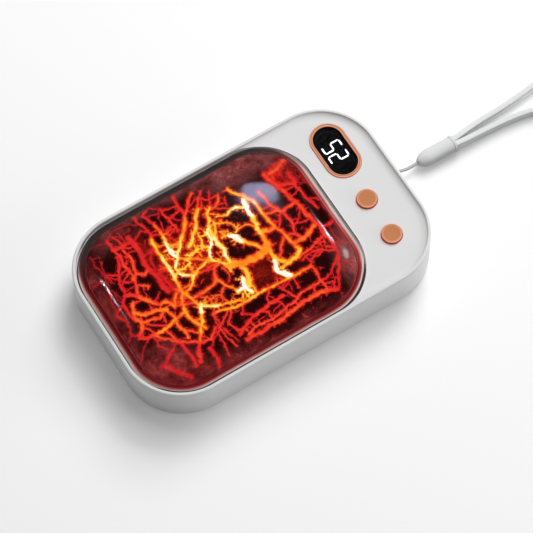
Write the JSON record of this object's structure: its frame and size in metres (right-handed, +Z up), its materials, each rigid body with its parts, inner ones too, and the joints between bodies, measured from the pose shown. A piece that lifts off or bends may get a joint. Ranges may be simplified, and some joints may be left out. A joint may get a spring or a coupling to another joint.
{
  "type": "rechargeable hand warmer",
  "caption": "Flat rechargeable hand warmer with a domed clear window over a glowing cracked plate, a lit two-digit display, push buttons and a wrist lanyard.",
  "frame": {"origin": "on the table, under the middle of the case, which rests on its rear cover", "axes": "+Z up through the window, +Y towards the lanyard end, +X to the right when the display is read"},
  "size_m": [0.066, 0.2516, 0.0204],
  "materials": {
    "white_shell": "satin",
    "clear_dome": "polished",
    "window_adhesive": "satin",
    "adhesive": "matt",
    "glowing_crackle": "glossy, lit from behind",
    "diffuser": "matt",
    "lamp_board": "satin",
    "lamp": "glossy",
    "flex_film": "glossy",
    "copper_trim": "satin",
    "smoked_pane": "polished",
    "black_plastic": "matt",
    "lit_digit": "lit",
    "steel": "bright",
    "circuit_board": "satin",
    "chip": "matt",
    "ferrite": "matt",
    "capacitor": "matt",
    "connector": "satin",
    "cell_pouch": "satin",
    "red_wire": "satin",
    "black_wire": "satin",
    "white_wire": "satin",
    "tape": "matt",
    "foam": "matt",
    "spreader": "satin",
    "sensor": "glossy",
    "white_cord": "woven",
    "sleeve_plastic": "satin"
  },
  "bodies": {
    "case": {"front_housing": "white_shell", "rear_cover": "white_shell", "cover_screws": "steel", "clear_dome": "clear_dome", "dome_seal": "window_adhesive", "cracked_plate": "glowing_crackle", "light_tray": "diffuser", "lamp_board": "lamp_board", "lamps": "lamp", "lamp_ribbon": "flex_film", "display_ring": "copper_trim", "display_window": "smoked_pane", "display_gasket": "adhesive", "display_block": "black_plastic", "lit_digits": "lit_digit", "power_switch": "steel", "mode_switch": "steel", "main_board": "circuit_board", "board_screws": "steel", "socket_shell": "steel", "socket_tongue": "black_plastic", "controller_chip": "chip", "charger_chip": "chip", "power_choke": "ferrite", "capacitor_row": "capacitor", "battery_plug": "connector", "battery_cell": "cell_pouch", "cell_guard": "flex_film", "red_lead": "red_wire", "black_lead": "black_wire", "battery_tape": "tape", "battery_pad": "foam", "heater_film": "flex_film", "heater_leads": "white_wire", "heat_spreader": "spreader", "heat_sensor": "sensor", "sensor_lead": "black_wire", "lanyard_pin": "steel", "lanyard_cord": "white_cord", "lanyard_sleeve": "sleeve_plastic", "wrist_strap": "white_cord"},
    "power_key": {"power_button": "copper_trim", "power_plunger": "black_plastic"},
    "mode_key": {"mode_button": "copper_trim", "mode_plunger": "black_plastic"}
  },
  "joints": [
    {"name": "power_press", "type": "slide", "parent": "case", "child": "power_key", "axis": [0, 0, -1], "range_m": [0, 0.0004], "stiffness_N_per_m": 2000, "springref_m": -0.0003},
    {"name": "mode_press", "type": "slide", "parent": "case", "child": "mode_key", "axis": [0, 0, -1], "range_m": [0, 0.0004], "stiffness_N_per_m": 2000, "springref_m": -0.0003}
  ]
}
